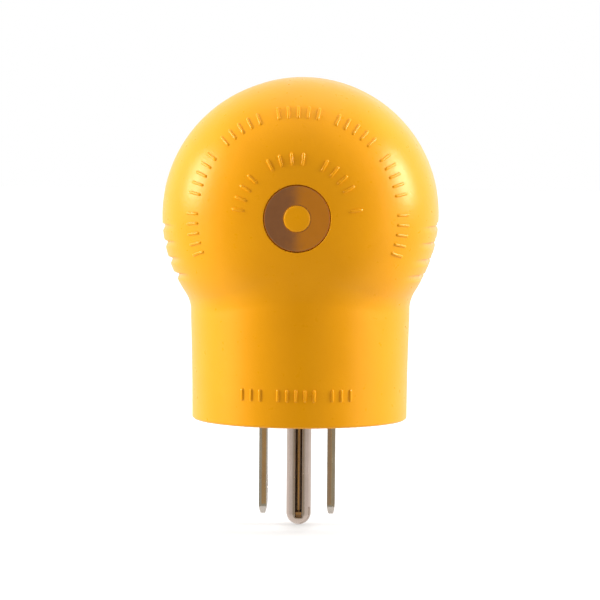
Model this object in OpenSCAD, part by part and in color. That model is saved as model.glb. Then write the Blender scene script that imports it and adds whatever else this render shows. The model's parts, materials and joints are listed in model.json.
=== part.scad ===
// Right-angle plug adapter: a three-pin plug below, a round three-way receptacle
// facing forward (+Y), and a domed grip behind (-Y). Millimetres, +Z up, origin at
// the centre of the plug's mating face.

/* [Housing] */
// Radius of the upright plug barrel
barrel_r = 20.2; // [20:0.1:21]
// Radius of the round head where the dome meets its side wall
head_r = 26.05; // [25.8:0.05:26.4]
// Radius of the head at its front rim
rim_r = 26.7; // [26.5:0.1:27.5]
// Height of the head's axis above the plug face
head_z = 38.3; // [38:0.1:39]
// Depth of the domed back behind the barrel's axis
dome_depth = 23; // [22.5:0.1:24]
// Squareness of the dome's section, where 2 is a plain ellipse
dome_power = 2.3; // [2:0.1:2.6]
// Distance from the barrel's axis to the front rim
front_y = 21.5; // [21.3:0.1:22.5]
// Rounding of the rim and of the barrel's lower edge
edge_round = 1.6; // [1:0.1:2]

/* [Grip ribs] */
// Number of finger grooves on each side of the head
groove_count = 4; // [2:1:5]
// Spacing of the finger grooves
groove_pitch = 3; // [2.8:0.1:3.2]
// Depth of a finger groove at the widest point of the head
groove_depth = 0.5; // [0.3:0.1:0.8]

/* [Plug] */
// Spacing between the two flat blades
blade_spacing = 12.7; // [12.7]
// Width of a blade
blade_w = 6.35; // [6.35]
// Thickness of a blade
blade_t = 1.52; // [1.52]
// Length of a blade below the plug face
blade_len = 17.2; // [16:0.1:18.2]
// Diameter of the round ground pin
ground_d = 4.75; // [4.75]
// Length of the ground pin below the plug face
ground_len = 21.2; // [20:0.1:22]
// Distance from the blades to the ground pin
ground_offset = 11.86; // [11.86]

/* [Receptacle] */
// Radius of the receptacle's core
core_r = 20.35; // [20.2:0.05:20.4]
// How far the receptacle's face lies behind the front rim
face_recess = 1; // [0.5:0.1:1.5]
// Length of a blade slot
slot_len = 8.8; // [8.4:0.1:9.2]
// Width of a blade slot
slot_w = 2.4; // [2.2:0.1:2.6]
// Sideways distance of a slot's centre from the face's centre
slot_x = 9.6; // [9.4:0.1:10]
// Height of a slot's centre above the face's centre
slot_z = 2.6; // [2.4:0.1:3]
// Radius of the ground hole in the face
ground_hole_r = 2.7; // [2.6:0.05:2.8]
// Distance of the ground hole below the face's centre
ground_hole_z = 9.8; // [9.6:0.1:10]

/* [Eyelet] */
// Radius of the eyelet's flange, seen at the back of the dome
flange_r = 6.35; // [6.2:0.05:6.5]
// Radius of the eyelet's bore
eyelet_bore_r = 2.55; // [2.5:0.05:2.6]

/* [Wiring] */
// Outer radius of a wire's jacket
jacket_r = 1.5; // [1.4:0.05:1.6]
// Radius of a wire's copper core
copper_r = 0.9; // [0.8:0.05:0.9]

/* [Hidden] */
$fn = 96;

// Depths of the receptacle's core, from its open front to its back.
face_y = front_y - face_recess;
housing_y = face_y - 6;
cover_y = -6;
cover_back_y = -9;
chamber_back_y = -15;

// The eyelet: its flange sits a little below the dome's skin.
flange_y = -dome_depth + 0.7;
flange_t = 0.9;
eyelet_r = 3.2;
eyelet_roll_r = 4.7;
gap = 0.04;

// The plug's inner parts.
insert_r = 14;
insert_h = 6;
blade_y = -5;
blade_hole_z = 11.9;
blade_hole_r = 1.6;
ground_y = blade_y + ground_offset;
neck_r = 2;
neck_z = 0.1;
lower_chamber_r = 13;
lower_chamber_top = 15.5;
crimp_r = 1.8;
crimp_bore_r = 0.95;
wire_y = -12;
ground_lug_z = 9.5;
contact_crimp_z = 34;
contact_tail_z = head_z + 1;
ground_crimp_z = 22;

// Points along each wire, from its crimp on the plug to its crimp on the receptacle.
hot_route = [[6.35, -5, 8], [6.35, -5, 11.3], [6.35, -5.6, 12.6], [6.4, -7, 13.4], [6.5, -9, 13.8],
    [6.6, -10.8, 14.6], [6.7, -11.8, 16], [6.8, -12, 18], [7, -12, 22], [7.7, -12, 25.5],
    [8.8, -12, 29], [9.5, -12, 31.6], [9.6, -12, 33.8], [9.6, -12, 37]];
ground_route = [[0, 3, 9.5], [0, 0, 9.5], [0, -3, 9.5], [0, -6, 9.6], [0, -8.6, 10.2],
    [0, -10.6, 11.6], [0, -11.7, 13.6], [0, -12, 16], [0, -12, 19], [0, -12, 22], [0, -12, 25]];

// Colours.
yellow = [1, 0.7, 0.12];
charcoal = [0.16, 0.16, 0.17];
nickel = [0.74, 0.72, 0.69];
brass = [0.82, 0.66, 0.32];
bronze = [0.5, 0.31, 0.2];
steel = [0.6, 0.61, 0.63];
copper = [0.8, 0.45, 0.26];

// Points of a quarter circle of radius r about c, from angle a0 to a1.
function arc(c, r, a0, a1, steps = 6) =
    [for (i = [0:steps]) let (a = a0 + (a1 - a0) * i / steps) c + r * [cos(a), sin(a)]];

// Half section of the head: radius against depth, from the tip of the dome to the front.
dome_steps = 18;
dome_section = [for (i = [0:dome_steps])
    let (a = 90 * i / dome_steps)
    [head_r * pow(sin(a), 2 / dome_power), -dome_depth * pow(cos(a), 2 / dome_power)]];
rim_section = arc([rim_r - edge_round, front_y - edge_round], edge_round, 0, 90);
head_section = concat(dome_section, rim_section, [[0, front_y]]);

// Half section of the barrel: radius against height, tapering in under the head.
barrel_top = 23.5;
barrel_section = concat([[0, 0]], arc([barrel_r - edge_round, edge_round], edge_round, -90, 0),
    [[barrel_r + 0.3, barrel_top - 4], [barrel_r - 0.4, barrel_top], [13, head_z - 3], [0, head_z - 3]]);

// Turns a shape drawn about +Z so that it runs along +Y on the head's axis.
module on_head_axis() translate([0, 0, head_z]) rotate([-90, 0, 0]) children();

// A round bar along the head's axis, from y0 to y1.
module head_bar(r, y0, y1) on_head_axis() translate([0, 0, y0]) cylinder(r = r, h = y1 - y0);

// Places a shape drawn about the Y axis at the centre of a blade slot, turned with it.
module at_slot(side) translate([side * slot_x, 0, head_z + slot_z]) rotate([0, side * 45, 0]) children();

// A box centred on x and z, running from y0 to y1.
module deep_box(w, h, y0, y1) translate([-w / 2, y0, -h / 2]) cube([w, y1 - y0, h]);

// One ring of a sweep round a route, square to the route at that point.
function unit(v) = v / norm(v);
function direction(route, i) =
    unit(route[min(i + 1, len(route) - 1)] - route[max(i - 1, 0)]);
function ring(route, i, r, sides) =
    let (d = direction(route, i), u = unit(cross(d, [1, 0.02, 0.03])), v = cross(d, u))
    [for (k = [0:sides - 1]) let (a = 360 * k / sides) route[i] + r * (cos(a) * u + sin(a) * v)];
function rings(route, r, sides, first, last) =
    [for (i = [first:last]) each ring(route, i, r, sides)];
function wall(base, count, sides, inward) =
    [for (i = [0:count - 2], k = [0:sides - 1])
        let (a = base + i * sides + k, b = base + i * sides + (k + 1) % sides)
        each inward
            ? [[a, b, b + sides], [a, b + sides, a + sides]]
            : [[b, a, a + sides], [b, a + sides, b + sides]]];

wire_sides = 8;

// A solid round wire along a whole route.
module solid_wire(route, r) {
    n = len(route);
    last = (n - 1) * wire_sides;
    polyhedron(
        points = rings(route, r, wire_sides, 0, n - 1),
        faces = concat(wall(0, n, wire_sides, false),
            [[for (k = [0:wire_sides - 1]) k]],
            [[for (k = [wire_sides - 1:-1:0]) last + k]]));
}

// A hollow jacket that leaves one step of the route bare at each end.
module hollow_wire(route, r, bore_r) {
    n = len(route) - 2;
    inner = n * wire_sides;
    last = (n - 1) * wire_sides;
    ends = [for (k = [0:wire_sides - 1]) let (m = (k + 1) % wire_sides)
        each [[k, m, inner + m], [k, inner + m, inner + k],
            [last + m, last + k, inner + last + k], [last + m, inner + last + k, inner + last + m]]];
    polyhedron(
        points = concat(rings(route, r, wire_sides, 1, n), rings(route, bore_r, wire_sides, 1, n)),
        faces = concat(wall(0, n, wire_sides, false), wall(inner, n, wire_sides, true), ends));
}

// Mirrors a shape to the neutral side.
module other_side() mirror([1, 0, 0]) children();

// Shallow grooves round one side of the head, deepest at its widest point.
module grip_grooves(side) {
    sweep_r = 29.2;
    half_angle = 26;
    first_z = head_z - 1.9;
    for (i = [0:groove_count - 1]) {
        z = first_z - i * groove_pitch;
        across = sqrt(head_r * head_r - (z - head_z) * (z - head_z));
        translate([side * (across - groove_depth - sweep_r), 0, z])
            rotate([0, 0, side > 0 ? -half_angle : 180 - half_angle])
                rotate_extrude(angle = 2 * half_angle)
                    polygon([[sweep_r, 0], [sweep_r + 2.5, 1.1], [sweep_r + 2.5, -0.75]]);
    }
}

module head_shape() on_head_axis() rotate_extrude() polygon(head_section);

module barrel_shape() rotate_extrude() polygon(barrel_section);

module body() color(yellow) difference() {
    union() {
        head_shape();
        barrel_shape();
    }
    // Pocket for the receptacle's core, open at the front.
    head_bar(core_r + gap, cover_back_y, front_y + 1);
    // Room for the wires behind the core, down the back, and above the plug.
    head_bar(16.5, chamber_back_y, cover_back_y + 0.5);
    translate([-9.5, chamber_back_y + 0.1, insert_h + 2]) cube([19, 5.8, 20]);
    translate([0, 0, insert_h - 0.5]) cylinder(r = lower_chamber_r, h = lower_chamber_top - insert_h + 0.5);
    // Seat of the plug's insert.
    translate([0, 0, -1]) cylinder(r = insert_r + gap, h = insert_h + 1);
    // Hole for the cover's tower and the eyelet's flange.
    head_bar(flange_r + gap, -dome_depth - 1, chamber_back_y + 0.5);
    grip_grooves(1);
    grip_grooves(-1);
}

module receptacle_face() color(charcoal) difference() {
    head_bar(core_r, housing_y, face_y);
    for (side = [-1, 1]) at_slot(side) deep_box(slot_len, slot_w, housing_y - 1, face_y + 1);
    translate([0, 0, -ground_hole_z]) head_bar(ground_hole_r, housing_y - 1, face_y + 1);
    // The eyelet comes through here and its end is rolled over in this counterbore.
    head_bar(eyelet_r + gap, housing_y - 1, face_y + 1);
    head_bar(eyelet_roll_r + 0.4, face_y - 1.4, face_y + 1);
}

module contact_housing() color([0.24, 0.24, 0.25]) difference() {
    head_bar(core_r - 0.05, cover_y, housing_y);
    for (side = [-1, 1]) at_slot(side) deep_box(11.5, 6.5, cover_y - 1, housing_y + 1);
    translate([0, 0, -ground_hole_z]) head_bar(4.3, cover_y - 1, housing_y + 1);
    head_bar(eyelet_r + gap, cover_y - 1, housing_y + 1);
}

module core_cover() color([0.3, 0.3, 0.31]) difference() {
    union() {
        head_bar(core_r, cover_back_y, cover_y);
        head_bar(flange_r, flange_y + flange_t, cover_back_y + 0.5);
    }
    head_bar(eyelet_r + gap, flange_y, cover_y + 1);
    // Slots for the contacts' tails.
    for (side = [-1, 1]) translate([side * slot_x, 0, contact_tail_z])
        deep_box(4.2, 2.2, cover_back_y - 1, cover_y + 1);
    translate([0, 0, head_z - ground_hole_z]) deep_box(4.2, 2.2, cover_back_y - 1, cover_y + 1);
}

// Flange, barrel and rolled front end, with a true bore right through.
module eyelet() color(bronze) difference() {
    union() {
        on_head_axis() translate([0, 0, flange_y]) rotate_extrude()
            polygon(concat([[0, 0], [flange_r - 0.35, 0]], arc([flange_r - 0.35, 0.35], 0.35, -90, 0, 4),
                [[flange_r, flange_t], [0, flange_t]]));
        head_bar(eyelet_r, flange_y + 0.3, face_y - 0.6);
        on_head_axis() translate([0, 0, face_y - 1.4]) rotate_extrude()
            polygon(concat([[0, 0], [eyelet_roll_r, 0]], arc([eyelet_roll_r - 1, 0], 1, 0, 90, 6),
                [[0, 1]]));
    }
    head_bar(eyelet_bore_r, flange_y - 1, face_y + 1);
}

// Housing compound that fills the eyelet's bore, flush with the dome at the back.
module eyelet_fill() color(yellow) head_bar(eyelet_bore_r - 0.02, -dome_depth + 0.3, face_y - 0.5);

module plug_insert() color(charcoal) difference() {
    cylinder(r = insert_r, h = insert_h);
    for (side = [-1, 1])
        translate([side * blade_spacing / 2 - blade_t / 2 - gap, blade_y - blade_w / 2 - gap, -1])
            cube([blade_t + 2 * gap, blade_w + 2 * gap, insert_h + 2]);
    translate([0, ground_y, -1]) cylinder(r = ground_d / 2 + gap, h = neck_z + gap + 1);
    translate([0, ground_y, -1]) cylinder(r = neck_r + gap, h = insert_h + 2);
}

// A bar w wide and depth deep, whose lower end narrows by side on each edge over the height rise.
module bevelled_bar(w, depth, side, rise, top) translate([0, depth / 2, 0]) rotate([90, 0, 0])
    linear_extrude(depth) polygon([[-w / 2, top], [-w / 2, rise - blade_len], [side - w / 2, -blade_len],
        [w / 2 - side, -blade_len], [w / 2, rise - blade_len], [w / 2, top]]);

// A flat blade with a bevelled tip, a round hole, and a crimp barrel at its top.
module blade() {
    bevel = 1.2;
    top = insert_h + 0.6;
    translate([blade_spacing / 2, blade_y, 0]) {
        difference() {
            intersection() {
                bevelled_bar(blade_t, blade_w, 0.3, bevel, top);
                rotate([0, 0, 90]) bevelled_bar(blade_w, blade_w, 0.9, 1.6, top);
            }
            translate([-blade_t, 0, -blade_hole_z]) rotate([0, 90, 0]) cylinder(r = blade_hole_r, h = 2 * blade_t);
        }
        difference() {
            translate([0, 0, insert_h + 0.3]) cylinder(r = crimp_r, h = 4.7);
            translate([0, 0, insert_h + 1.2]) cylinder(r = crimp_bore_r, h = 6);
        }
    }
}

module hot_blade() color(nickel) blade();
module neutral_blade() color(nickel) other_side() blade();

// A rolled pin with an open seam down the side that faces the blades, a closed tip, and
// a narrower neck that the insert grips. The seam runs from near the tip to the very top.
module ground_pin() color(nickel) {
    r = ground_d / 2;
    shell = 0.85;
    seam_w = 1.35;
    seam_end = 1.6;
    top = insert_h + 0.5;
    translate([0, ground_y, 0]) difference() {
        union() {
            translate([0, 0, -ground_len + r]) cylinder(r = r, h = ground_len - r + neck_z);
            cylinder(r = neck_r, h = top);
            translate([0, 0, -ground_len + r]) intersection() {
                sphere(r = r);
                translate([-r - 1, -r - 1, -r - 1]) cube([2 * r + 2, 2 * r + 2, r + 1.2]);
            }
        }
        translate([0, 0, -ground_len + r]) cylinder(r = r - shell, h = ground_len - r + insert_h - 1);
        translate([-seam_w / 2, -r - 1, -ground_len + seam_end]) cube([seam_w, r + 1, ground_len + top]);
    }
    // Lug and crimp barrel that take the ground wire.
    difference() {
        union() {
            translate([-1.2, ground_y - 1.6, insert_h + 0.2])
                cube([2.4, 2.6, ground_lug_z - insert_h - 0.2]);
            translate([0, ground_y - 0.5, ground_lug_z]) rotate([90, 0, 0]) cylinder(r = crimp_r, h = 5.2);
        }
        translate([0, ground_y - 2, ground_lug_z]) rotate([90, 0, 0]) cylinder(r = crimp_bore_r, h = 6);
    }
}

// A folded contact: two leaves that pinch a blade, a back web, and a tail to its crimp.
module blade_contact() {
    leaf_w = 8;
    metal = 0.8;
    back_y = cover_y + 1.5;
    mouth_y = housing_y - 0.8;
    leaf = [[2.4, back_y], [2.4, 4], [0.9 + metal, mouth_y - 4], [2.2 + metal, mouth_y],
        [2.2, mouth_y], [0.9, mouth_y - 4], [2.4 - metal, 4], [2.4 - metal, back_y + metal]];
    at_slot(1) {
        // The leaves' outline is drawn across the slot and against depth.
        for (flip = [0, 1]) mirror([0, 0, flip]) rotate([0, 90, 0]) translate([0, 0, -leaf_w / 2])
            linear_extrude(leaf_w) polygon([for (p = leaf) [-p[0], p[1]]]);
        deep_box(leaf_w, 4.8, back_y, back_y + metal);
    }
    // Tail through the cover, and the crimp behind it.
    translate([slot_x, 0, contact_tail_z]) deep_box(3.4, 1, wire_y, back_y + 0.3);
    crimp_top = contact_tail_z + 0.6;
    difference() {
        translate([slot_x, wire_y, contact_crimp_z]) cylinder(r = crimp_r, h = crimp_top - contact_crimp_z);
        translate([slot_x, wire_y, contact_crimp_z - 1]) cylinder(r = crimp_bore_r, h = 4.6);
    }
}

module hot_contact() color(brass) blade_contact();
module neutral_contact() color(brass) other_side() blade_contact();

// A slit sleeve that grips a round pin, with a tail to its crimp.
module ground_contact() color(brass) {
    sleeve_r = 3.15;
    sleeve_back = cover_y + 2;
    translate([0, 0, -ground_hole_z]) difference() {
        union() {
            head_bar(sleeve_r, sleeve_back, housing_y - 0.8);
            translate([0, 0, head_z]) deep_box(3.6, 1, wire_y, sleeve_back + 0.5);
        }
        head_bar(ground_d / 2 + 0.05, sleeve_back + 1, housing_y);
        translate([0, 0, head_z + 1]) deep_box(0.8, 6, sleeve_back + 1.5, housing_y);
    }
    crimp_top = head_z - ground_hole_z + 0.5;
    difference() {
        translate([0, wire_y, ground_crimp_z]) cylinder(r = crimp_r, h = crimp_top - ground_crimp_z);
        translate([0, wire_y, ground_crimp_z - 1]) cylinder(r = crimp_bore_r, h = 4.6);
    }
}

// A steel spring that closes round a contact's two leaves.
module leaf_spring() {
    metal = 0.35;
    at_slot(1) difference() {
        deep_box(5, 2 * (2.4 + metal) + 0.1, -2, 3.4);
        deep_box(6, 2 * 2.4 + 0.1, -3, 4);
    }
}

module hot_contact_spring() color(steel) difference() {
    leaf_spring();
    at_slot(1) deep_box(1.6, 20, -1, 2.4);
}
module neutral_contact_spring() color(steel) other_side() difference() {
    leaf_spring();
    at_slot(1) deep_box(1.6, 20, -1, 2.4);
}

// An open steel ring that keeps the ground sleeve closed on its pin.
module ground_contact_spring() color(steel) translate([0, 0, -ground_hole_z]) difference() {
    head_bar(3.6, 6, 9);
    head_bar(3.18, 5, 10);
    translate([0, 0, head_z + 3]) deep_box(1.4, 6, 5, 10);
}

module hot_wire_copper() color(copper) solid_wire(hot_route, copper_r);
module neutral_wire_copper() color(copper) other_side() solid_wire(hot_route, copper_r);
module ground_wire_copper() color(copper) solid_wire(ground_route, copper_r);
module hot_wire_jacket() color([0.1, 0.1, 0.1]) hollow_wire(hot_route, jacket_r, copper_r + 0.02);
module neutral_wire_jacket() color([0.92, 0.92, 0.9])
    other_side() hollow_wire(hot_route, jacket_r, copper_r + 0.02);
module ground_wire_jacket() color([0.1, 0.5, 0.22]) hollow_wire(ground_route, jacket_r, copper_r + 0.02);

body();
receptacle_face();
contact_housing();
core_cover();
eyelet();
eyelet_fill();
plug_insert();
hot_blade();
neutral_blade();
ground_pin();
hot_contact();
neutral_contact();
ground_contact();
hot_contact_spring();
neutral_contact_spring();
ground_contact_spring();
hot_wire_copper();
neutral_wire_copper();
ground_wire_copper();
hot_wire_jacket();
neutral_wire_jacket();
ground_wire_jacket();
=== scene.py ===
"""The looks of a right-angle power adapter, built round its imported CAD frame.

Shapes are worked out in millimetres, as signed distance fields that become quad meshes,
and every mesh is scaled to metres when it is made. +Y is the receptacle's side, -Y the dome's.
"""
import json
import math

import bpy
import numpy as np
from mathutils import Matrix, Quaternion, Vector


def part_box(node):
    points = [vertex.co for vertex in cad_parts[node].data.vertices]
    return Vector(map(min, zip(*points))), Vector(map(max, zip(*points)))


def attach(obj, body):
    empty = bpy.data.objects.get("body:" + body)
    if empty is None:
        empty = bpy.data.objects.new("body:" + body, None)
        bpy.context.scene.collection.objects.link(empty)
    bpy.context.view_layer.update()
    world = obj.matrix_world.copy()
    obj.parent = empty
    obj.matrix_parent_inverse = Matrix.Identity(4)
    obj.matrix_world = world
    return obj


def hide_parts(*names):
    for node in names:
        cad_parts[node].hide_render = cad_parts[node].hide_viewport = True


MM = 0.001

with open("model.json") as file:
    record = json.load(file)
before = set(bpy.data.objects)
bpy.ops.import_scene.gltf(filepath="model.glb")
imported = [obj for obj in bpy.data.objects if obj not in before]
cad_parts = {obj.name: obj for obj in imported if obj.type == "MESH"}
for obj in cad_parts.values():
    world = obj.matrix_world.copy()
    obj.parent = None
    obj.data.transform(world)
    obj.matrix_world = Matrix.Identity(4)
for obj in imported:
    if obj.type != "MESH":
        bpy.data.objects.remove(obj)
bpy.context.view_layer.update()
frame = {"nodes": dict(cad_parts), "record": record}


def box_mm(node):
    """Lowest and highest corner of a CAD node, in millimetres."""
    low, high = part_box(node)
    return np.array(low) / MM, np.array(high) / MM


# ---------------------------------------------------------------- sizes, from the frame

_, BODY_HIGH = box_mm("body")
FACE_LOW, FACE_HIGH = box_mm("receptacle_face")
EYELET_LOW, EYELET_HIGH = box_mm("eyelet")
FILL_LOW, FILL_HIGH = box_mm("eyelet_fill")
_, INSERT_HIGH = box_mm("plug_insert")
BLADE_LOW, BLADE_HIGH = box_mm("hot_blade")
PIN_LOW, PIN_HIGH = box_mm("ground_pin")
_, COVER_HIGH = box_mm("core_cover")

HEAD_Z = (FACE_LOW[2] + FACE_HIGH[2]) / 2
RIM_R = BODY_HIGH[0]
HEAD_R = RIM_R - 0.8
DOME_DEPTH = 0.7 - EYELET_LOW[1]
DOME_POWER = 2.3
FRONT_Y = BODY_HIGH[1]
FACE_Y = FACE_HIGH[1]
CORE_R = FACE_HIGH[0]
EDGE_ROUND = 1.6
BARREL_R = 20.3
BARREL_X = 0.18
BARREL_EDGE = 0.55
BARREL_FLARE = 0.35
BARREL_FLARE_Z = 19.5
NECK_BLEND = 1.0

# The ring and its fill are a little smaller in the photo than in the frame.
FLANGE_R = EYELET_HIGH[0] - 0.25
FLANGE_Y = EYELET_LOW[1]
FILL_R = FILL_HIGH[0] - 0.12
INSERT_R = INSERT_HIGH[0]
INSERT_H = INSERT_HIGH[2]
BLADE_X = 6.35
BLADE_HALF = (0.76, 3.175)
BLADE_Y = -5.0
BLADE_HOLE_Z = -11.9
BLADE_HOLE_R = 1.6
PIN_R = 2.375
PIN_Y = 6.86
PIN_CENTRE_Z = PIN_LOW[2] + PIN_R
NECK_R = 2.0  # the pin is narrower inside the plug's bridge
NECK_Z = 0.1
CRIMP_R = 1.8
CRIMP_BORE_R = 0.95
GAP = 0.04

SLOT_X, SLOT_Z = 9.6, 2.6
SLOT_HALF = (4.4, 1.2)
GROUND_HOLE_Z = -9.8
GROUND_HOLE_R = 2.7
CHAMBER_Y = -15.0


# ---------------------------------------------------------------- fields

def fillet_union(a, b, radius):
    """Both solids, with a round fillet where they meet."""
    corner = np.hypot(np.maximum(radius - a, 0), np.maximum(radius - b, 0))
    return np.maximum(radius, np.minimum(a, b)) - corner


def round_overlap(a, b, radius):
    """What two solids share, with the edge between them rounded."""
    return -fillet_union(-a, -b, radius)


def cut(solid, tool, radius):
    """The solid without the tool's space, with the cut's edge rounded."""
    return round_overlap(solid, -tool, radius)


def bar(radius, along, size, low, high):
    """A round bar: its own radius field against a size, between two ends."""
    return np.maximum(radius - size, np.maximum(low - along, along - high))


def block(x, y, z, low, high):
    """An upright box between two corners."""
    spans = [np.maximum(a - v, v - b) for v, a, b in zip((x, y, z), low, high)]
    return np.maximum(np.maximum(spans[0], spans[1]), spans[2])


def ease(value, start, end):
    """A smooth step from 0 at start to 1 at end."""
    t = np.clip((value - start) / (end - start), 0, 1)
    return t * t * (3 - 2 * t)


# ---------------------------------------------------------------- meshes

def spread(low, high, coarse, *zones):
    """Grid lines from low to high, coarse apart, and finer inside each (from, to, pitch) zone."""
    lines = [low]
    while lines[-1] < high:
        here = lines[-1] + 1e-9
        fine = [pitch for start, end, pitch in zones if start <= here < end]
        ahead = [start for start, end, pitch in zones if here < start]
        step = min(fine) if fine else coarse
        lines.append(min([lines[-1] + step] + ahead) if not fine else lines[-1] + step)
    return np.array(lines)


def gradient(field, points, step=0.01):
    slope = np.empty_like(points)
    for axis in range(3):
        offset = np.zeros(3)
        offset[axis] = step
        slope[:, axis] = field(*(points + offset).T) - field(*(points - offset).T)
    return slope / (2 * step)


def snapped(field, points, rounds=3, longest=0.15):
    """The points, moved on to the surface where the field is zero."""
    for _ in range(rounds):
        slope = gradient(field, points)
        size = np.maximum((slope * slope).sum(1), 0.2)
        move = slope * (field(*points.T) / size)[:, None]
        length = np.maximum(np.linalg.norm(move, axis=1), 1e-12)
        points = points - move * np.minimum(1, longest / length)[:, None]
    return points


def relaxed(points, quads):
    """The points, each moved half way to the mean of its neighbours."""
    total = np.zeros_like(points)
    count = np.zeros(len(points))
    for corner in range(4):
        for neighbour in ((corner + 1) % 4, (corner + 3) % 4):
            here, there = quads[:, corner], points[quads[:, neighbour]]
            count += np.bincount(here, minlength=len(points))
            for axis in range(3):
                total[:, axis] += np.bincount(here, there[:, axis], len(points))
    return (points + total / np.maximum(count, 1)[:, None]) / 2


def surface_net(field, axes, rounds=2):
    """Points and quads of the surface where the field is zero, on a grid of uneven spacing."""
    value = field(*np.meshgrid(*axes, indexing="ij"))
    inside = value < 0
    shape = np.array(value.shape)
    cells = shape - 1
    total = np.zeros((cells.prod(), 3))
    count = np.zeros(cells.prod())
    quads = []
    units = np.eye(3, dtype=int)
    for axis in range(3):
        step, across, up = units[axis], units[(axis + 1) % 3], units[(axis + 2) % 3]
        lower = tuple(slice(0, n - s) for n, s in zip(shape, step))
        upper = tuple(slice(s, n) for n, s in zip(shape, step))
        start = np.argwhere(inside[lower] != inside[upper])
        around = [start, start - across, start - across - up, start - up]
        kept = np.all([((c >= 0) & (c < cells)).all(1) for c in around], axis=0)
        start, around = start[kept], [c[kept] for c in around]
        end = start + step
        v0, v1 = value[tuple(start.T)], value[tuple(end.T)]
        p0 = np.stack([axes[i][start[:, i]] for i in range(3)], 1)
        p1 = np.stack([axes[i][end[:, i]] for i in range(3)], 1)
        crossing = p0 + (p1 - p0) * (v0 / (v0 - v1))[:, None]
        ids = np.stack([np.ravel_multi_index(c.T, cells) for c in around], 1)
        for column in ids.T:
            count += np.bincount(column, minlength=len(count))
            for i in range(3):
                total[:, i] += np.bincount(column, crossing[:, i], len(count))
        quads.append(np.where((v0 < 0)[:, None], ids, ids[:, ::-1]))
    quads = np.concatenate(quads)
    used = np.flatnonzero(count)
    order = np.full(len(count), -1)
    order[used] = np.arange(len(used))
    points = total[used] / count[used][:, None]
    quads = order[quads]
    points = snapped(field, points)
    for _ in range(rounds):
        points = snapped(field, relaxed(points, quads))
    return points, quads


def piece(name, points, faces, material, stands_for=()):
    """A smooth-shaded mesh piece on the one body, from points in millimetres."""
    mesh = bpy.data.meshes.new(name)
    mesh.from_pydata((np.asarray(points) * MM).tolist(), [], [list(f) for f in faces])
    mesh.validate()
    mesh.shade_smooth()
    mesh.materials.append(material)
    thing = bpy.data.objects.new(name, mesh)
    bpy.context.scene.collection.objects.link(thing)
    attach(thing, "root")
    if stands_for:
        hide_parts(*stands_for)
    return thing


def netted(name, field, axes, material, stands_for, rounds=2):
    """A piece made from a field, with its shading normals from the field too."""
    points, quads = surface_net(field, axes, rounds)
    thing = piece(name, points, quads.tolist(), material, stands_for)
    normals = gradient(field, points)
    normals /= np.maximum(np.linalg.norm(normals, axis=1), 1e-9)[:, None]
    thing.data.normals_split_custom_set_from_vertices(normals.tolist())
    return thing


def lathe(section, steps, axis_z):
    """Points and quads of a closed section of (radius, y) points turned about the head's axis."""
    section = np.asarray(section, float)
    angle = np.linspace(0, 2 * math.pi, steps, endpoint=False)[:, None]
    radius, depth = section[:, 0][None, :], section[:, 1][None, :]
    points = np.stack([
        radius * np.cos(angle), depth + 0 * angle, axis_z + radius * np.sin(angle)], -1)
    count = len(section)
    quads = []
    for i in range(steps):
        for j in range(count):
            a, b = i * count + j, i * count + (j + 1) % count
            c, d = ((i + 1) % steps) * count + (j + 1) % count, ((i + 1) % steps) * count + j
            quads.append([a, b, c, d])
    return points.reshape(-1, 3), quads


def arc(centre, radius, start, end, steps=6):
    """Points on a circle's arc, between two angles in degrees."""
    angles = np.radians(np.linspace(start, end, steps + 1))
    return [(centre[0] + radius * math.cos(a), centre[1] + radius * math.sin(a)) for a in angles]


# ---------------------------------------------------------------- materials

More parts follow.
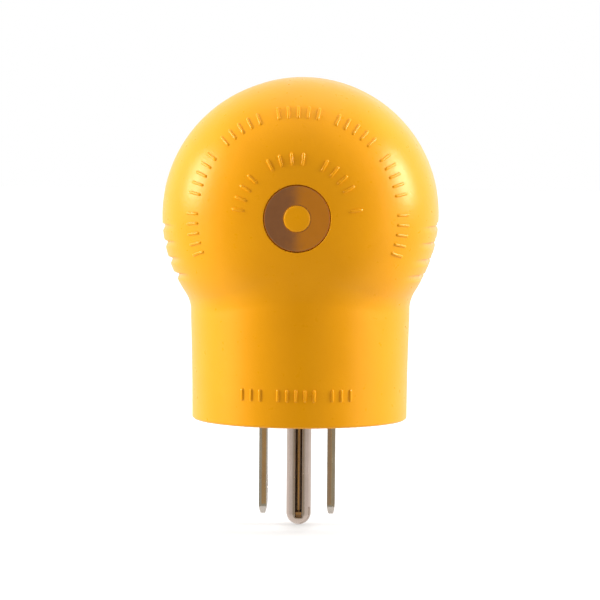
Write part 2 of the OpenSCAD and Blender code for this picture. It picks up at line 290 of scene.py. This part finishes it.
class Finish:
    """A Principled material, and short ways to drive it from procedural textures."""

    def __init__(self, name, **values):
        self.material = bpy.data.materials.new(name)
        self.material.use_nodes = True
        self.nodes = self.material.node_tree.nodes
        self.links = self.material.node_tree.links
        self.shader = self.nodes["Principled BSDF"]
        for socket, value in values.items():
            self.shader.inputs[socket.replace("_", " ")].default_value = value
        self.place = self.nodes.new("ShaderNodeTexCoord").outputs["Object"]

    def moved(self, offset=(0, 0, 0), scale=(1, 1, 1)):
        node = self.nodes.new("ShaderNodeMapping")
        node.inputs["Location"].default_value = [v * MM for v in offset]
        node.inputs["Scale"].default_value = scale
        self.links.new(self.place, node.inputs["Vector"])
        return node.outputs["Vector"]

    def length(self, vector):
        node = self.nodes.new("ShaderNodeVectorMath")
        node.operation = "LENGTH"
        self.links.new(vector, node.inputs[0])
        return node.outputs["Value"]

    def noise(self, size_mm, detail=3, stretch=(1, 1, 1), rough=0.5):
        """Noise whose features are about size_mm across, 0 to 1."""
        node = self.nodes.new("ShaderNodeTexNoise")
        node.inputs["Scale"].default_value = 1 / (size_mm * MM)
        node.inputs["Detail"].default_value = detail
        node.inputs["Roughness"].default_value = rough
        self.links.new(self.moved(scale=stretch), node.inputs["Vector"])
        return node.outputs["Fac"]

    def rings(self, centre, pitch_mm, distortion=0.4):
        """Turning marks about the head's axis."""
        node = self.nodes.new("ShaderNodeTexWave")
        node.wave_type = "RINGS"
        node.rings_direction = "Y"
        node.inputs["Scale"].default_value = 1 / (pitch_mm * MM * 2 * math.pi) * 0.5
        node.inputs["Distortion"].default_value = distortion
        self.links.new(self.moved([-v for v in centre]), node.inputs["Vector"])
        return node.outputs["Fac"]

    def scaled(self, source, low, high, start=0.3, end=0.7):
        """The source, remapped from start..end to low..high."""
        node = self.nodes.new("ShaderNodeMapRange")
        ends = (("From Min", start), ("From Max", end), ("To Min", low), ("To Max", high))
        for socket, value in ends:
            node.inputs[socket].default_value = value
        self.links.new(source, node.inputs["Value"])
        return node.outputs["Result"]

    def tint(self, source, *colours):
        """A colour ramp over the source."""
        node = self.nodes.new("ShaderNodeValToRGB")
        ramp = node.color_ramp
        while len(ramp.elements) < len(colours):
            ramp.elements.new(0.5)
        for element, (position, colour) in zip(ramp.elements, colours):
            element.position = position
            element.color = (*colour, 1)
        self.links.new(source, node.inputs["Fac"])
        self.links.new(node.outputs["Color"], self.shader.inputs["Base Color"])
        return self

    def drive(self, socket, source):
        self.links.new(source, self.shader.inputs[socket])
        return self

    def bump(self, *layers):
        """Bumps from (height source, depth in mm, strength) layers, one on another."""
        normal = None
        for source, depth_mm, strength in layers:
            node = self.nodes.new("ShaderNodeBump")
            node.inputs["Distance"].default_value = depth_mm * MM
            node.inputs["Strength"].default_value = strength
            self.links.new(source, node.inputs["Height"])
            if normal is not None:
                self.links.new(normal, node.inputs["Normal"])
            normal = node.outputs["Normal"]
        self.links.new(normal, self.shader.inputs["Normal"])
        return self


def shaded(colour, factor):
    return tuple(min(1, c * factor) for c in colour)


def yellow_compound():
    """Satin moulded vinyl: faint flow mottling, a fine eggshell texture."""
    base = (0.93, 0.38, 0.0015)
    finish = Finish("yellow_compound", Roughness=0.34, IOR=1.5, Specular_Tint=(1, 0.88, 0.52, 1))
    mottle = finish.noise(9, 4)
    finish.tint(mottle, (0.3, shaded(base, 0.97)), (0.5, base), (0.72, (0.95, 0.395, 0.002)))
    finish.drive("Roughness", finish.scaled(finish.noise(1.3, 5), 0.27, 0.35))
    finish.bump((finish.noise(0.5, 2), 0.05, 0.4), (finish.noise(4, 2), 0.06, 0.06))
    return finish.material


def charcoal_nylon():
    base = (0.028, 0.028, 0.031)
    finish = Finish("charcoal_nylon", Roughness=0.55, IOR=1.53)
    finish.tint(finish.noise(3, 5), (0.3, shaded(base, 0.8)), (0.7, shaded(base, 1.25)))
    finish.drive("Roughness", finish.scaled(finish.noise(0.5, 3), 0.46, 0.62))
    finish.bump((finish.noise(0.28, 3), 0.03, 0.25))
    return finish.material


def metal(name, base, dark, roughness, stretch, grain_mm=0.5):
    """Plated or bare metal with fine drawing marks along one direction, and dull patches."""
    finish = Finish(name, Metallic=1.0)
    grain = finish.noise(grain_mm, 4, stretch, 0.6)
    patches = finish.noise(2.6, 4)
    finish.tint(patches, (0.28, dark), (0.55, base), (0.8, shaded(base, 1.06)))
    finish.drive("Roughness", finish.scaled(grain, roughness * 0.75, roughness * 1.3))
    finish.bump((grain, 0.01, 0.25), (finish.noise(1.4, 2), 0.02, 0.12))
    return finish.material


def bronze_eyelet():
    """Bronze-coloured plate with fine turning rings."""
    base = (0.62, 0.38, 0.22)
    finish = Finish("bronze_eyelet", Metallic=1.0)
    finish.tint(finish.noise(1.6, 4), (0.3, shaded(base, 0.97)), (0.7, shaded(base, 1.03)))
    rings = finish.rings((0, 0, HEAD_Z), 0.22)
    finish.drive("Roughness", finish.scaled(finish.noise(0.8, 4), 0.09, 0.14))
    finish.bump((rings, 0.004, 0.1), (finish.noise(1.2, 2), 0.02, 0.03))
    return finish.material


def jacket(name, base):
    """Extruded wire insulation: satin, with faint lengthwise lines."""
    finish = Finish(name, Roughness=0.4, IOR=1.5)
    finish.tint(finish.noise(2, 4), (0.3, shaded(base, 0.85)), (0.7, shaded(base, 1.1)))
    finish.drive("Roughness", finish.scaled(finish.noise(0.6, 3), 0.33, 0.48))
    finish.bump((finish.noise(0.3, 2, (1, 1, 0.1)), 0.02, 0.2))
    return finish.material


def floor_with_painted_shadow():
    """White paper with light of its own: more far out, to keep it evenly white, and less round the
    pin's tip, where the dimmer glow is a painted soft shadow.
    """
    finish = Finish("pale_floor", Roughness=0.75, Emission_Color=(1, 1, 1, 1))
    finish.tint(finish.noise(60, 3), (0.3, (0.44, 0.445, 0.45)), (0.7, (0.46, 0.46, 0.46)))
    # The glow drops in a stretched blob round the pin's tip: a painted contact shadow under the
    # tip.
    painted_shadow_distance = finish.length(finish.moved((0, -PIN_Y, 0), (3, 1, 0)))
    far = finish.length(finish.place)
    total = finish.nodes.new("ShaderNodeMath")
    finish.links.new(finish.scaled(painted_shadow_distance, 0.34, 0.56, 0, 0.014), total.inputs[0])
    finish.links.new(finish.scaled(far, 0, 0.24, 0.03, 0.25), total.inputs[1])
    finish.drive("Emission Strength", total.outputs[0])
    return finish.material


MATERIALS = {
    "yellow_compound": yellow_compound(),
    "charcoal_nylon": charcoal_nylon(),
    "bronze_eyelet": bronze_eyelet(),
    "nickel_plate": metal(
        "nickel_plate", (0.64, 0.575, 0.515), (0.58, 0.51, 0.445), 0.24, (1, 1, 0.06)),
    "pin_nickel": metal(
        "pin_nickel", (0.595, 0.48, 0.413), (0.56, 0.45, 0.38), 0.24, (1, 1, 0.06)),
    "contact_brass": metal(
        "contact_brass", (0.78, 0.58, 0.26), (0.6, 0.42, 0.17), 0.3, (1, 0.1, 1)),
    "spring_steel": metal(
        "spring_steel", (0.45, 0.46, 0.48), (0.33, 0.33, 0.35), 0.32, (0.1, 1, 1)),
    "bare_copper": metal(
        "bare_copper", (0.8, 0.4, 0.22), (0.55, 0.24, 0.12), 0.35, (1, 1, 0.1), 0.3),
    "black_jacket": jacket("black_jacket", (0.02, 0.02, 0.02)),
    "white_jacket": jacket("white_jacket", (0.82, 0.82, 0.8)),
    "green_jacket": jacket("green_jacket", (0.03, 0.3, 0.1)),
}


# ---------------------------------------------------------------- the yellow body

RIB_DROPS = [1.55, 4.65, 7.75, 10.65]
RIB_DEPTHS = [0.48, 0.54, 0.62, 0.66]


def rib_depth(x, y, z):
    """How far the shingled finger ribs cut in: sharply at each ledge, easing out below it.

    They fade out towards the dome, and run on to the receptacle's rim.
    """
    drop = HEAD_Z - z
    depth = np.zeros_like(x)
    for ledge, deepest in zip(RIB_DROPS, RIB_DEPTHS):
        below = drop - ledge
        depth += deepest * ease(below, -0.1, 0.16) * (1 - ease(below, 0.3, 1.4))
    return depth * (1 - ease(-y, 5, 13.5)) * (1 - ease(y, 20.3, 21.4)) * ease(np.abs(x), 14, 18)


def dome_field(across, y):
    """The domed back: a superellipse turned about the head's axis."""
    r = np.maximum(across, 1e-6) / HEAD_R
    d = np.maximum(-y, 1e-6) / DOME_DEPTH
    total = r ** DOME_POWER + d ** DOME_POWER
    reach = total ** (1 / DOME_POWER)
    share = total ** (1 / DOME_POWER - 1)
    slope = share * np.hypot(r ** (DOME_POWER - 1) / HEAD_R, d ** (DOME_POWER - 1) / DOME_DEPTH)
    return (reach - 1) / slope


def head_field(across, y):
    wall_y = np.clip(y / (FRONT_Y - EDGE_ROUND), 0, 1)
    wall = across - HEAD_R - (RIM_R - HEAD_R) * wall_y ** 2
    front = round_overlap(wall, y - FRONT_Y, EDGE_ROUND)
    return np.where(y < 0, dome_field(across, y), front)


def barrel_field(x, y, z):
    """The upright barrel, a little right of the plug's axis, with a small flare at its top."""
    flare = BARREL_FLARE * np.clip(z / BARREL_FLARE_Z, 0, 1) ** 2
    around = np.hypot(x - BARREL_X, y)
    return round_overlap(around - BARREL_R - flare, np.maximum(-z, z - HEAD_Z + 4), BARREL_EDGE)


def skin_field(x, y, z):
    """The outside of the body, before anything is cut from it."""
    across = np.hypot(x, z - HEAD_Z)
    head = head_field(across, y) + rib_depth(x, y, z)
    return fillet_union(head, barrel_field(x, y, z), NECK_BLEND)


def body_field(x, y, z):
    across = np.hypot(x, z - HEAD_Z)
    around = np.hypot(x, y)
    wires = block(x, y, z, (-9.5, CHAMBER_Y + 0.1, 8), (9.5, CHAMBER_Y + 5.9, 28))
    chamber = np.minimum(bar(across, y, 16.5, CHAMBER_Y, -8.5), wires)
    pocket = np.minimum(bar(across, y, CORE_R + GAP, COVER_HIGH[1] - 3, FRONT_Y + 5), chamber)
    seat = np.minimum(bar(around, z, INSERT_R + GAP, -5, INSERT_H),
                      bar(around, z, 13, INSERT_H - 0.5, 15.5))
    tower = bar(across, y, FLANGE_R + GAP, -DOME_DEPTH - 5, CHAMBER_Y + 0.5)
    solid = cut(skin_field(x, y, z), pocket, 0.7)
    solid = cut(solid, np.minimum(seat, wires), 0.45)
    return cut(solid, tower, 0.14)


def make_body():
    eyelet_zone = (HEAD_Z - FLANGE_R - 0.7, HEAD_Z + FLANGE_R + 0.7, 0.25)
    axes = (
        spread(-RIM_R - 1, RIM_R + 1, 0.7, (-FLANGE_R - 0.7, FLANGE_R + 0.7, 0.27)),
        spread(-DOME_DEPTH - 0.6, FRONT_Y + 0.8, 0.7, (-DOME_DEPTH - 0.4, -21.4, 0.2),
               (19.8, FRONT_Y + 0.4, 0.3)),
        spread(-0.8, HEAD_Z + RIM_R + 1, 0.7, (-0.5, 1.2, 0.24), (26, HEAD_Z, 0.25), eyelet_zone),
    )
    return netted("body_shell", body_field, axes, MATERIALS["yellow_compound"],
                  ["body"])


# ---------------------------------------------------------------- raised marks

MARK_H = 0.23
MARK_HALF = (0.27, 1.15)
# Each arc: its radius, its reach in degrees either way, the pitch, and every how many is left out.
MARK_ARCS = ((19.3, 110, 1.84, 6), (10.8, 82, 2.05, 5))
# The row on the barrel: how many places, which of them are left out, the pitch and the height.
ROW_COUNT, ROW_GAPS, ROW_PITCH, ROW_Z = 13, (3, 9), 1.65, 6.0


def back_skin(x, z):
    """Points on the dome and the barrel's front, straight behind (x, z)."""
    y = np.full_like(x, -DOME_DEPTH - 2)
    for _ in range(60):
        y = y + skin_field(x, y, z)
    return np.stack([x, y, z], -1)


def mark(centre, turn, half_w, half_l):
    """A raised bar with a rounded top and sides, laid on the skin: its points and faces."""
    rings = ((1.15, -0.25), (1.05, 0.1), (0.85, 0.5), (0.6, 0.84), (0.3, 1.0))
    around = 20
    angle = np.linspace(0, 2 * math.pi, around, endpoint=False)
    points = []
    for share, height in rings:
        across = half_w * share * np.cos(angle)
        reach = (half_l - half_w) * (0.72 + 0.28 * share)
        along = half_w * share * np.sin(angle) + np.sign(np.sin(angle)) * reach
        x = centre[0] + across * math.cos(turn) - along * math.sin(turn)
        z = centre[1] + across * math.sin(turn) + along * math.cos(turn)
        base = back_skin(x, z)
        slope = gradient(skin_field, base)
        slope /= np.linalg.norm(slope, axis=1)[:, None]
        points.append(base + slope * MARK_H * height)
    faces = []
    for i in range(len(rings) - 1):
        for k in range(around):
            a, b = i * around + k, i * around + (k + 1) % around
            faces.append([a, b, b + around, a + around])
    last = (len(rings) - 1) * around
    faces.append([last + k for k in range(around)])
    faces.append([k for k in reversed(range(around))])
    return np.concatenate(points), faces


def make_marks():
    """Plain raised bars in two arcs round the eyelet and one row on the barrel."""
    places = []
    for radius, reach, pitch, gaps in MARK_ARCS:
        count = int(2 * math.radians(reach) * radius / pitch)
        for i in range(count + 1):
            if i % gaps == gaps - 1:
                continue
            a = math.radians(-reach + 2 * reach * i / count)
            places.append(((radius * math.sin(a), HEAD_Z + radius * math.cos(a)), -a))
    for i in range(ROW_COUNT):
        if i not in ROW_GAPS:
            places.append((((i - ROW_COUNT // 2) * ROW_PITCH, ROW_Z), 0.0))
    points, faces, base = [], [], 0
    for centre, turn in places:
        p, f = mark(centre, turn, *MARK_HALF)
        points.append(p)
        faces += [[base + k for k in face] for face in f]
        base += len(p)
    return piece("raised_marks", np.concatenate(points), faces, MATERIALS["yellow_compound"])


# ---------------------------------------------------------------- eyelet

def make_eyelet():
    """Flange with a softly rolled rim, the barrel, and the end rolled over at the front."""
    thick = 0.9
    bore = FILL_R + 0.02
    outer = 3.2
    roll = EYELET_HIGH[1]
    section = (
        arc((bore + 0.08, FLANGE_Y + 0.08), 0.08, 180, 270)
        + [(bore + 0.16, FLANGE_Y + 0.002), (bore + 1.2, FLANGE_Y + 0.05)]
        + [(FLANGE_R - 1.0, FLANGE_Y + 0.14)]
        + arc((FLANGE_R - 0.3, FLANGE_Y + 0.46), 0.3, 270, 360)
        + arc((FLANGE_R - 0.2, FLANGE_Y + thick - 0.2), 0.2, 0, 90)
        + arc((outer + 0.3, FLANGE_Y + thick + 0.3), 0.3, 270, 180)
        + [(outer, roll - 0.9), (4.3, roll - 0.9)]
        + arc((4.25, roll - 0.45), 0.45, -90, 90)
        + arc((3.1, roll - 0.55), 0.55, 90, 180)
    )
    points, quads = lathe(section, 160, HEAD_Z)
    return piece("eyelet_ring", points, quads, MATERIALS["bronze_eyelet"],
                 ["eyelet"])


def make_fill():
    """The compound in the eyelet's bore, with a slightly crowned end."""
    low, high = FILL_LOW[1], FILL_HIGH[1]

    def field(x, y, z):
        across = np.hypot(x, z - HEAD_Z)
        crown = 0.1 * (across / FILL_R) ** 2
        return round_overlap(across - FILL_R, np.maximum(low + crown - y, y - high), 0.3)

    side = spread(-FILL_R - 0.4, FILL_R + 0.4, 0.22)
    depth = spread(low - 0.4, high + 0.6, 1.2,
                   (low - 0.3, low + 1, 0.15), (high - 0.8, high + 0.4, 0.2))
    axes = (side, depth, side + HEAD_Z)
    return netted("eyelet_plug", field, axes, MATERIALS["yellow_compound"],
                  ["eyelet_fill"])


# ---------------------------------------------------------------- plug

# For each blade: where the ridge stands, and how far its left and right sides turn from it.
EDGE_RIDGES = {-1: (-0.25, math.radians(20), math.radians(-2.5)),
               1: (0.05, math.radians(3), math.radians(10))}


def blade_field(side):
    """A blade folded from sheet: its narrow edge bent to a slight ridge, and a bevelled tip."""
    half_t, half_w = BLADE_HALF
    top = INSERT_H + 0.6
    tip = BLADE_LOW[2]
    slopes = ((0.3, 1.2, half_t, 0), (0.9, 1.6, half_w, 1))
    ridge, left_turn, right_turn = EDGE_RIDGES[side]

    def field(x, y, z):
        u, v = np.abs(x - side * BLADE_X), np.abs(y - BLADE_Y)
        flat = round_overlap(u - half_t, v - half_w, 0.22)
        solid = round_overlap(flat, np.maximum(tip - z, z - top), 0.12)
        for inset, rise, half, axis in slopes:
            length = math.hypot(inset, rise)
            over = ((u, v)[axis] - half) * rise / length + (tip + rise - z) * inset / length
            solid = round_overlap(solid, over, 0.15)
        from_ridge = x - side * BLADE_X - ridge
        for turn in (-left_turn, right_turn):
            facet = from_ridge * math.sin(turn) + (v - half_w) * math.cos(turn)
            solid = np.maximum(solid, facet)
        hole = np.hypot(y - BLADE_Y, z - BLADE_HOLE_Z) - BLADE_HOLE_R
        solid = cut(solid, hole, 0.18)
        crimp = np.hypot(x - side * BLADE_X, y - BLADE_Y)
        tube = bar(crimp, z, CRIMP_R, top - 0.3, BLADE_HIGH[2])
        return cut(np.minimum(solid, tube), bar(crimp, z, CRIMP_BORE_R, top + 0.6, 99), 0.1)

    return field


def make_blades():
    for name, side in (("hot_blade", 1), ("neutral_blade", -1)):
        half_t, half_w = BLADE_HALF
        x0 = side * BLADE_X
        axes = (
            spread(x0 - CRIMP_R - 0.3, x0 + CRIMP_R + 0.3, 0.3,
                   (x0 - half_t - 0.2, x0 + half_t + 0.2, 0.1)),
            spread(BLADE_Y - half_w - 0.3, BLADE_Y + half_w + 0.3, 0.22,
                   (BLADE_Y - half_w - 0.2, BLADE_Y - half_w + 0.3, 0.1),
                   (BLADE_Y + half_w - 0.3, BLADE_Y + half_w + 0.2, 0.1)),
            spread(BLADE_LOW[2] - 0.4, BLADE_HIGH[2] + 0.4, 0.25,
                   (BLADE_LOW[2] - 0.2, BLADE_LOW[2] + 2, 0.14)),
        )
        netted(f"{name}_folded", blade_field(side), axes, MATERIALS["nickel_plate"],
               [name])


def pin_field(x, y, z):
    """A pin rolled from sheet, with rounded lips at its seam and a closed round tip."""
    u, v = x, y - PIN_Y
    radius = np.hypot(u, v)
    top = INSERT_H + 0.5
    below = np.minimum(z - PIN_CENTRE_Z, 0)
    shaft = np.maximum(np.hypot(radius, below) - PIN_R, z - NECK_Z)
    solid = fillet_union(shaft, bar(radius, z, NECK_R, 0, top), 0.05)
    # A fold line follows the right side of the tip, a little inside its outline.
    fold = np.hypot(np.hypot(u, below) - 2.03, v + 1.23) - 0.17
    fold = np.maximum(np.maximum(fold, z - PIN_CENTRE_Z - 1.1), 0.3 - u)
    solid = cut(solid, fold, 0.06)
    bore = bar(radius, z, PIN_R - 0.85, PIN_CENTRE_Z, INSERT_H - 1)
    seam = np.maximum(np.maximum(np.abs(u) - 0.62, v), PIN_LOW[2] + 1.6 - z)
    solid = cut(solid, np.minimum(bore, seam), 0.25)
    lug = block(u, v, z, (-1.2, -1.6, INSERT_H + 0.2), (1.2, 1.0, 9.5))
    crimp = np.hypot(u, z - 9.5)
    solid = np.minimum(solid, np.minimum(lug, bar(crimp, -v, CRIMP_R, 0.5, 5.7)))
    return cut(solid, bar(crimp, -v, CRIMP_BORE_R, 2, 9), 0.1)


def make_ground_pin():
    axes = (
        spread(-3.3, 3.3, 0.2),
        spread(PIN_LOW[1] - 0.4, PIN_HIGH[1] + 0.4, 0.2),
        spread(PIN_LOW[2] - 0.4, PIN_HIGH[2] + 0.4, 0.32,
               (PIN_LOW[2] - 0.2, PIN_CENTRE_Z + 0.6, 0.16)),
    )
    return netted("ground_pin_rolled", pin_field, axes, MATERIALS["pin_nickel"],
                  ["ground_pin"])


def insert_field(x, y, z):
    radius = np.hypot(x, y)
    half_t, half_w = BLADE_HALF
    solid = round_overlap(radius - INSERT_R, np.maximum(-z, z - INSERT_H), 0.3)
    blades = np.maximum(np.abs(np.abs(x) - BLADE_X) - half_t - GAP,
                        np.abs(y - BLADE_Y) - half_w - GAP)
    pin_r = np.hypot(x, y - PIN_Y)
    pin = np.minimum(pin_r - NECK_R - GAP, bar(pin_r, z, PIN_R + GAP, -9, NECK_Z + GAP))
    return cut(solid, np.minimum(blades, pin), 0.15)


def make_insert():
    side = spread(-INSERT_R - 0.6, INSERT_R + 0.6, 0.3)
    axes = (side, side, spread(-0.4, INSERT_H + 0.5, 0.8, (-0.3, 0.8, 0.2),
                               (INSERT_H - 0.6, INSERT_H + 0.4, 0.25)))
    return netted("plug_bridge", insert_field, axes, MATERIALS["charcoal_nylon"],
                  ["plug_insert"])


# ---------------------------------------------------------------- receptacle

def face_field(x, y, z):
    """The receptacle's face: two angled slots and a ground hole with softly chamfered mouths."""
    up = z - HEAD_Z
    across = np.hypot(x, up)
    low = FACE_LOW[1]
    solid = round_overlap(across - CORE_R, np.maximum(low - y, y - FACE_Y), 0.35)
    # Slots stand like the two strokes of a roof, turned 45 degrees each.
    for side in (-1, 1):
        u, w = x - side * SLOT_X, up - SLOT_Z
        along = (u - side * w) * math.sqrt(0.5)
        over = (side * u + w) * math.sqrt(0.5)
        slot = round_overlap(np.abs(along) - SLOT_HALF[0], np.abs(over) - SLOT_HALF[1], 0.25)
        solid = cut(solid, slot, 0.35)
    ground = np.hypot(x, up - GROUND_HOLE_Z) - GROUND_HOLE_R
    solid = cut(solid, ground, 0.4)
    bore = np.minimum(across - 3.24, bar(across, y, 5.1, FACE_Y - 1.4, 99))
    return cut(solid, bore, 0.25)


def make_face():
    side = spread(-CORE_R - 0.6, CORE_R + 0.6, 0.32)
    axes = (side, spread(FACE_LOW[1] - 0.4, FACE_Y + 0.5, 0.9, (FACE_Y - 1.7, FACE_Y + 0.4, 0.2),
                         (FACE_LOW[1] - 0.3, FACE_LOW[1] + 0.6, 0.3)), side + HEAD_Z)
    return netted("outlet_face", face_field, axes, MATERIALS["charcoal_nylon"],
                  ["receptacle_face"])


# ---------------------------------------------------------------- the pieces that stay as CAD

def finish_cad_nodes():
    slots = {part["node"]: part["material_slot"] for part in frame["record"]["subparts"]}
    for name, node in frame["nodes"].items():
        node.data.materials.clear()
        node.data.materials.append(MATERIALS[slots[name]])


# ---------------------------------------------------------------- stage, lights and camera

PICTURE_WIDTH = 600
PHOTO_SCALE = 5.29  # pixels to a millimetre at the plug's axis
CAMERA_DISTANCE = 500
CAMERA_YAW = math.radians(1.4)
CAMERA_ELEVATION = math.radians(3.2)
CAMERA_ROLL = math.radians(0.45)
AIM = (0.12, 0, 22.4)
FLOOR_HALF = 4500

# The studio round the object: its walls and ground, the dimmer wall in front, and the two
# browns round the camera that the eyelet reflects.
WALLS = (0.72, 0.71, 0.70)
BACK_WALL = (0.95, 0.95, 0.95)
GROUND = (0.95, 0.95, 0.95)
FRONT_WALL = (0.36, 0.35, 0.28)
STRIP_LEFT = (0.31, 0.205, 0.14)
STRIP_RIGHT = (0.67, 0.38, 0.056)


def make_floor():
    """A pale floor under the pin's tip, with a painted shadow round the tip in its glow. It takes
    shadows, and doesn't light the object.
    """
    mesh = bpy.data.meshes.new("pale_floor")
    half = FLOOR_HALF * MM
    mesh.from_pydata([(-half, -half, 0), (half, -half, 0), (half, half, 0), (-half, half, 0)],
                     [], [(0, 1, 2, 3)])
    mesh.materials.append(floor_with_painted_shadow())
    floor = bpy.data.objects.new("pale_floor", mesh)
    bpy.context.scene.collection.objects.link(floor)
    floor.location = (0, 0, PIN_LOW[2] * MM)
    floor.visible_diffuse = False
    floor.visible_glossy = False
    floor.visible_shadow = False


def softbox(name, direction, distance, size, radiance, mirrored=True):
    """A rectangular lamp of a given radiance, in a direction from the head's centre."""
    data = bpy.data.lights.new(name, "AREA")
    data.shape = "RECTANGLE"
    data.size, data.size_y = size[0] * MM, size[1] * MM
    data.energy = radiance * math.pi * data.size * data.size_y
    lamp = bpy.data.objects.new(name, data)
    bpy.context.scene.collection.objects.link(lamp)
    away = Vector(direction).normalized()
    lamp.location = Vector((0, 0, HEAD_Z)) * MM + away * distance * MM
    lamp.rotation_euler = (-away).to_track_quat("-Z", "Y").to_euler()
    lamp.visible_glossy = mirrored


def make_world():
    """A pale studio: bright behind and below, dimmer in front, with two browns round the camera."""
    world = bpy.data.worlds.new("studio")
    world.use_nodes = True
    nodes, links = world.node_tree.nodes, world.node_tree.links
    nodes.clear()

    def add(kind, *sources):
        """A node, with its first inputs linked to sources or set to values."""
        node = nodes.new("ShaderNode" + kind)
        for socket, source in zip(node.inputs, sources):
            if isinstance(source, bpy.types.NodeSocket):
                links.new(source, socket)
            else:
                socket.default_value = source
        return node

    def step(value, start, end):
        node = add("MapRange", value, start, end)
        node.interpolation_type = "SMOOTHSTEP"
        return node.outputs["Result"]

    def mixed(share, first, second):
        seconds = second if isinstance(second, bpy.types.NodeSocket) else (*second, 1)
        firsts = first if isinstance(first, bpy.types.NodeSocket) else (*first, 1)
        return add("MixRGB", share, firsts, seconds).outputs["Color"]

    parts = add("SeparateXYZ", add("TexCoord").outputs["Generated"]).outputs
    toward = add("Math", parts["Y"], -1.0)
    toward.operation = "MULTIPLY"
    toward = toward.outputs[0]
    strip = mixed(step(parts["X"], -0.03, -0.026), STRIP_LEFT, STRIP_RIGHT)
    front = mixed(step(toward, 0.955, 0.98), FRONT_WALL, strip)
    light = mixed(step(toward, 0.0, -0.5), WALLS, BACK_WALL)
    light = mixed(step(parts["Z"], -0.15, -0.6), light, GROUND)
    light = mixed(step(toward, 0.35, 0.7), light, front)
    studio = add("Background", light).outputs[0]
    backdrop = add("Background", (1, 1, 1, 1)).outputs[0]
    mix = add("MixShader", add("LightPath").outputs["Is Camera Ray"], studio, backdrop)
    add("OutputWorld", mix.outputs[0])
    bpy.context.scene.world = world


def make_lights():
    make_world()
    softbox("left_softbox", (-0.95, -0.02, 0.33), 600, (240, 260), 11.5)
    softbox("right_softbox", (0.93, 0.04, 0.36), 600, (200, 280), 15.5)
    softbox("left_fill", (-0.97, -0.25, 0), 700, (400, 400), 5.0, mirrored=False)
    softbox("right_fill", (0.97, -0.25, 0), 700, (400, 400), 2.9, mirrored=False)
    softbox("top_softbox", (0, 0.3, 1), 700, (500, 400), 3.1, mirrored=False)


def make_camera():
    data = bpy.data.cameras.new("camera")
    data.sensor_width = 36
    data.lens = data.sensor_width * CAMERA_DISTANCE / (PICTURE_WIDTH / PHOTO_SCALE)
    data.clip_start, data.clip_end = 0.05, 50
    camera = bpy.data.objects.new("camera", data)
    bpy.context.scene.collection.objects.link(camera)
    back = Vector((math.sin(CAMERA_YAW) * math.cos(CAMERA_ELEVATION),
                      -math.cos(CAMERA_YAW) * math.cos(CAMERA_ELEVATION),
                      math.sin(CAMERA_ELEVATION)))
    camera.location = Vector(AIM) * MM + back * CAMERA_DISTANCE * MM
    level = (-back).to_track_quat("-Z", "Y")
    camera.rotation_euler = (Quaternion(back, CAMERA_ROLL) @ level).to_euler()
    bpy.context.scene.camera = camera


make_camera()
make_floor()
make_lights()
bpy.context.scene.view_settings.view_transform = "Standard"
finish_cad_nodes()
make_body()
make_marks()
make_eyelet()
make_fill()
make_blades()
make_ground_pin()
make_insert()
make_face()
